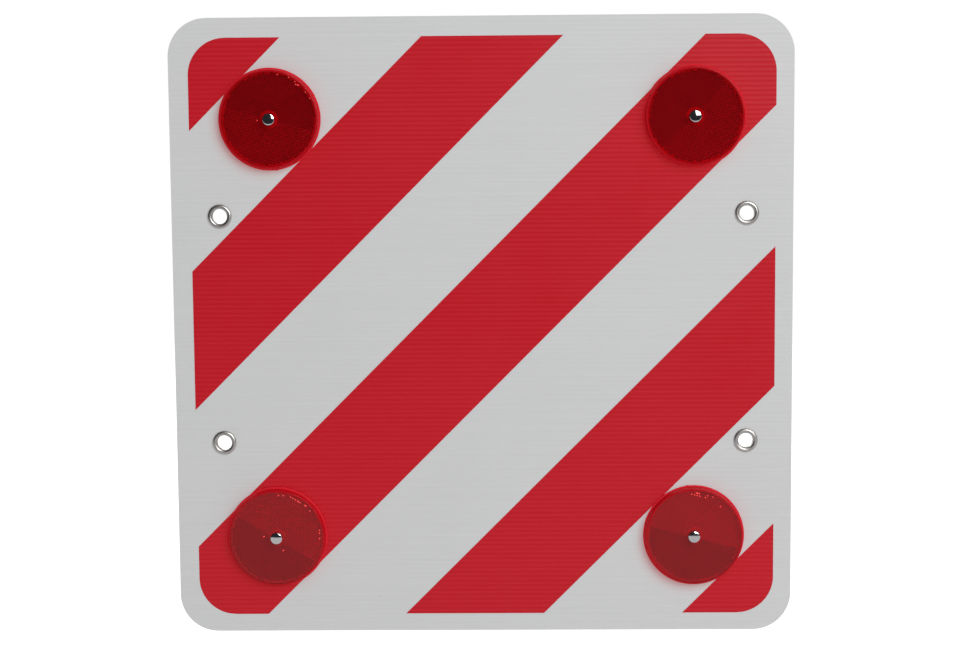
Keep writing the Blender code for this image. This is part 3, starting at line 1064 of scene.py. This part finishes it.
studio = {
    "floorHeight": -0.60,
    "floorSize": 40.0,
    "floorColor": (0.72, 0.72, 0.71),
    "floorGrain": 0.97,      # how dark the floor's faint patches are, of that
    "floorLift": 0.66,       # light that the camera alone sees, which makes the floor white
    "worldLight": 0.485,
    "keyPlace": (1.92, -3.59, 1.92),
    "keySize": (3.0, 3.0),
    "keyPower": 120.0,
    "rearPlace": (-1.6, 3.8, 1.6),
    "rearSize": (3.0, 3.0),
    "rearPower": 62.0,
    # What shows in shine alone: a dark room, open behind, and a pale table in front of the sign
    "roomLow": (-5.0, -6.0, -0.28),
    "roomHigh": (6.0, 0.6, 6.0),
    "roomColor": (0.020, 0.020, 0.024),
    "tableLevel": -0.246,
    "tableReach": 0.85,
    "tableWidth": 3.0,
    "tableColor": (0.48, 0.47, 0.50),
}


def addStage(name, points, faces, material):
    mesh = bpy.data.meshes.new(name)
    mesh.from_pydata(points, [], faces)
    mesh.materials.append(material)
    piece = addObject(name, mesh)
    return piece


def makeFloor():
    material, tree, shader = startMaterial("pale floor")
    tree.nodes.remove(shader)
    grain = addNode(tree, "ShaderNodeTexNoise", {"Scale": 3.0, "Detail": 4}).outputs[0]
    darker = tuple(c * studio["floorGrain"] for c in studio["floorColor"])
    color = mixColors(tree, grain, studio["floorColor"], darker)
    matte = addNode(tree, "ShaderNodeBsdfDiffuse", {"Color": color})
    rays = tree.nodes.new("ShaderNodeLightPath").outputs
    lift = mathNode(tree, "MULTIPLY", rays["Is Camera Ray"], studio["floorLift"])
    glow = addNode(tree, "ShaderNodeEmission", {"Strength": lift})
    lit = addNode(tree, "ShaderNodeAddShader", {0: matte.outputs[0], 1: glow.outputs[0]})
    below = tree.nodes.new("ShaderNodeNewGeometry").outputs["Backfacing"]
    hidden = mathNode(tree, "MULTIPLY", below, rays["Is Camera Ray"])
    clear = tree.nodes.new("ShaderNodeBsdfTransparent")
    both = addNode(tree, "ShaderNodeMixShader", {0: hidden, 1: lit.outputs[0], 2: clear.outputs[0]})
    tree.links.new(both.outputs[0], tree.nodes["Material Output"].inputs["Surface"])
    half, level = studio["floorSize"] / 2, studio["floorHeight"]
    points = [(-half, -half, level), (half, -half, level), (half, half, level), (-half, half, level)]
    addStage("floor", points, [(0, 1, 2, 3)], material)


def addShinePiece(name, points, faces, color):
    material, tree, shader = startMaterial(name)
    tree.nodes.remove(shader)
    glow = addNode(tree, "ShaderNodeEmission", {"Color": color, "Strength": 1.0})
    tree.links.new(glow.outputs[0], tree.nodes["Material Output"].inputs["Surface"])
    material.cycles.emission_sampling = "NONE"
    piece = addStage(name, points, faces, material)
    piece.visible_camera = piece.visible_diffuse = piece.visible_transmission = piece.visible_shadow = False


def makeShineRoom():
    (x0, y0, z0), (x1, y1, z1) = studio["roomLow"], studio["roomHigh"]
    near, level, side = -studio["tableReach"], studio["tableLevel"], studio["tableWidth"] / 2
    points = [(x0, y0, z0), (x1, y0, z0), (x1, y0, z1), (x0, y0, z1),
              (x0, y1, z0), (x1, y1, z0), (x1, y1, z1), (x0, y1, z1),
              (x0, near, z0), (x1, near, z0)]
    walls = [(0, 1, 2, 3), (0, 3, 7, 4), (1, 5, 6, 2), (3, 2, 6, 7), (0, 8, 9, 1)]
    addShinePiece("dark_room", points, walls, studio["roomColor"])
    table = [(-side, near, level), (side, near, level), (side, 0, level), (-side, 0, level)]
    addShinePiece("pale_table", table, [(0, 1, 2, 3)], studio["tableColor"])


def makeWorld():
    world = bpy.data.worlds.new("white room")
    bpy.context.scene.world = world
    world.use_nodes = True
    tree = world.node_tree
    rays = tree.nodes.new("ShaderNodeLightPath").outputs
    seen = mathNode(tree, "MAXIMUM", rays["Is Camera Ray"], rays["Is Glossy Ray"])
    seen = mathNode(tree, "MAXIMUM", seen, rays["Is Transmission Ray"])
    strength = rangeNode(tree, seen, 0, 1, studio["worldLight"], 1.0)
    backdrop = tree.nodes["Background"]
    backdrop.inputs["Color"].default_value = (1, 1, 1, 1)
    tree.links.new(strength, backdrop.inputs["Strength"])


def addSoftbox(name, place, size, power):
    light = bpy.data.lights.new(name, "AREA")
    light.shape = "RECTANGLE"
    light.size, light.size_y = size
    light.energy = power
    lamp = addObject(name, light)
    lamp.location = place
    lamp.rotation_euler = (-lamp.location).to_track_quat("-Z", "Y").to_euler()
    lamp.visible_camera = False


camera = {
    "place": (0.0343, -1.6904, 0.1943),
    "aim": (0.0016, 0.0, 0.0047),
    "roll": -0.459,
    "lens": 77.87,
    "sensor": 36.0,
}


def makeCamera():
    data = bpy.data.cameras.new("camera")
    data.sensor_width = camera["sensor"]
    data.lens = camera["lens"]
    eye = addObject("camera", data)
    place = Vector(camera["place"])
    look = (Vector(camera["aim"]) - place).to_track_quat("-Z", "Y").to_matrix().to_4x4()
    roll = Matrix.Rotation(math.radians(camera["roll"]), 4, "Z")
    eye.matrix_world = Matrix.Translation(place) @ look @ roll
    bpy.context.scene.camera = eye


makeFloor()
makeShineRoom()
makeWorld()
addSoftbox("key softbox", studio["keyPlace"], studio["keySize"], studio["keyPower"])
addSoftbox("rear softbox", studio["rearPlace"], studio["rearSize"], studio["rearPower"])
makeCamera()
bpy.context.scene.view_settings.view_transform = "Standard"
print("Studio made")
